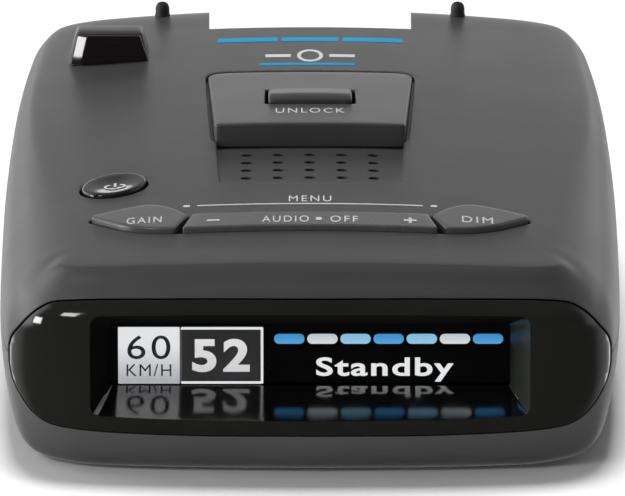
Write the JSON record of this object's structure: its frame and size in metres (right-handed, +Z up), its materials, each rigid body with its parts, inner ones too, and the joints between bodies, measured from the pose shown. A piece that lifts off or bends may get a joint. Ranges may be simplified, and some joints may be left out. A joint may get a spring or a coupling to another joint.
{
  "type": "windshield radar detector",
  "caption": "Windshield-mount radar and laser detector with a recessed colour display, top keys, sprung bracket release and a rear mount slot.",
  "frame": {"origin": "on the table under the centre of the case", "axes": "+X to the driver's right, +Y away from the driver towards the windshield, +Z up; the display faces -Y"},
  "size_m": [0.0802, 0.1372, 0.033],
  "materials": {
    "housing": "soft-touch charcoal",
    "base": "fine-textured black",
    "gloss": "high gloss",
    "smoked": "smoked clear",
    "display": "lit colour display",
    "board": "solder-masked fibreglass",
    "microwave": "cream microwave laminate",
    "steel": "zinc plated",
    "cast": "die cast",
    "moulded": "moulded black",
    "ribbon": "amber film",
    "chip": "moulded package",
    "sleeve": "shrink sleeve",
    "connector": "moulded tan",
    "rubber": "smooth rubber",
    "ferrite": "sintered ferrite",
    "paper": "pressed paper",
    "foam": "closed-cell foam",
    "sensor": "infrared-passing resin",
    "label": "printed silver film"
  },
  "bodies": {
    "case": {"top_housing": "housing", "mount_cover": "housing", "bottom_housing": "base", "front_bezel": "gloss", "windshield_window": "gloss", "rear_laser_lens": "gloss", "display_window": "smoked", "display_panel": "display", "main_board": "board", "key_board": "board", "laser_board": "board", "microwave_board": "microwave", "latch_bracket": "steel", "power_switch": "steel", "sensitivity_switch": "steel", "brightness_switch": "steel", "mute_switch": "steel", "volume_down_switch": "steel", "volume_up_switch": "steel", "main_board_screw_1": "steel", "main_board_screw_2": "steel", "key_board_screw_left": "steel", "key_board_screw_right": "steel", "case_screw_front_left": "steel", "case_screw_front_right": "steel", "case_screw_rear_left": "steel", "case_screw_rear_right": "steel", "shield_can": "steel", "service_port": "steel", "speaker_basket": "steel", "horn_antenna": "cast", "display_carrier": "moulded", "mount_channel": "moulded", "laser_receiver": "moulded", "power_jack": "moulded", "earphone_jack": "moulded", "display_ribbon": "ribbon", "processor": "chip", "power_capacitor": "sleeve", "board_connector": "connector", "bumper_left": "rubber", "bumper_right": "rubber", "speaker_magnet": "ferrite", "speaker_cone": "paper", "speaker_gasket": "foam", "rear_laser_sensor": "sensor", "rating_label": "label"},
    "release_button": {"release_button": "housing", "release_latch": "steel", "release_spring": "steel"},
    "power_key": {"power_key": "gloss"},
    "sensitivity_key": {"sensitivity_key": "housing"},
    "brightness_key": {"brightness_key": "housing"},
    "mute_plunger": {"mute_plunger": "moulded"},
    "volume_rocker": {"volume_rocker": "housing"}
  },
  "joints": [
    {"name": "release_press", "type": "slide", "parent": "case", "child": "release_button", "axis": [0, 0, -1], "range_m": [0, 0.0024], "stiffness_N_per_m": 600, "deforming": ["release_spring"]},
    {"name": "power_press", "type": "slide", "parent": "case", "child": "power_key", "axis": [0, 0, -1], "range_m": [0, 0.0005], "stiffness_N_per_m": 1500},
    {"name": "sensitivity_press", "type": "slide", "parent": "case", "child": "sensitivity_key", "axis": [0, 0, -1], "range_m": [0, 0.0005], "stiffness_N_per_m": 1500},
    {"name": "brightness_press", "type": "slide", "parent": "case", "child": "brightness_key", "axis": [0, 0, -1], "range_m": [0, 0.0005], "stiffness_N_per_m": 1500},
    {"name": "mute_press", "type": "slide", "parent": "case", "child": "mute_plunger", "axis": [0, 0, -1], "range_m": [0, 0.0005], "stiffness_N_per_m": 1500},
    {"name": "volume_rock", "type": "hinge", "parent": "mute_plunger", "child": "volume_rocker", "pos_m": [0, -0.0458, 0.0228], "axis": [0, 1, 0], "range_deg": [-2.2, 2.2], "stiffness_Nm_per_rad": 0.15}
  ]
}
